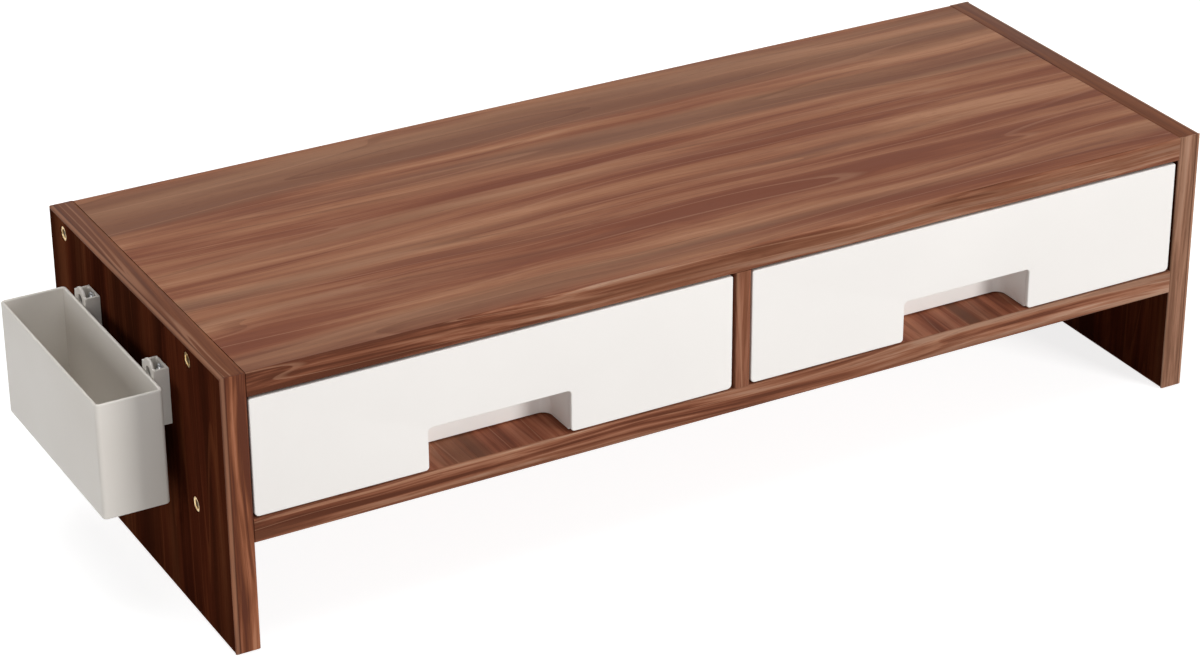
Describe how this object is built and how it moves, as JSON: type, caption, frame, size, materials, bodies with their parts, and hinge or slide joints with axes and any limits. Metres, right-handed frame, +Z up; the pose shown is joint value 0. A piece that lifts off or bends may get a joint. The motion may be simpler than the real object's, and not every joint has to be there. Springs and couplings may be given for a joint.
{
  "type": "monitor stand",
  "caption": "Monitor stand of walnut-look boards with white drawers that have finger notches, and a grey pen box hung on one side.",
  "frame": {"origin": "middle of the whole object's footprint, pen box included, on the surface that it stands on", "axes": "+X along the width to the user's right, +Y from the drawers to the back, +Z up"},
  "size_m": [0.5596, 0.2, 0.139],
  "materials": {
    "walnut_board": "walnut foil laminate, satin",
    "walnut_band": "walnut edge band, satin",
    "back_board": "thin fibreboard with walnut foil",
    "white_plastic": "moulded, fine matt",
    "grey_plastic": "moulded, fine matt",
    "yellow_zinc_screw": "yellow zinc plated",
    "steel_screw": "zinc plated",
    "foam_pad": "matt foam"
  },
  "bodies": {
    "stand": {"top_board": "walnut_board", "drawer_shelf": "walnut_board", "centre_divider": "walnut_board", "side_panel_left": "walnut_board", "side_panel_right": "walnut_board", "back_panel": "back_board", "top_board_bands": "walnut_band", "drawer_shelf_bands": "walnut_band", "divider_band": "walnut_band", "side_bands_left": "walnut_band", "side_bands_right": "walnut_band", "side_screws_left": "yellow_zinc_screw", "side_screws_right": "yellow_zinc_screw", "foot_pads": "foam_pad", "pen_clip_front": "grey_plastic", "pen_clip_rear": "grey_plastic", "pen_clip_screws": "steel_screw"},
    "drawer_left": {"drawer_front_left": "white_plastic", "drawer_tray_left": "white_plastic"},
    "drawer_right": {"drawer_front_right": "white_plastic", "drawer_tray_right": "white_plastic"},
    "pen_box": {"pen_box": "grey_plastic"}
  },
  "joints": [
    {"name": "drawer_left_slide", "type": "slide", "parent": "stand", "child": "drawer_left", "axis": [0, -1, 0], "range_m": [0, 0.15]},
    {"name": "drawer_right_slide", "type": "slide", "parent": "stand", "child": "drawer_right", "axis": [0, -1, 0], "range_m": [0, 0.15]},
    {"name": "pen_box_lift", "type": "slide", "parent": "stand", "child": "pen_box", "axis": [0, 0, 1], "range_m": [0, 0.006]}
  ]
}
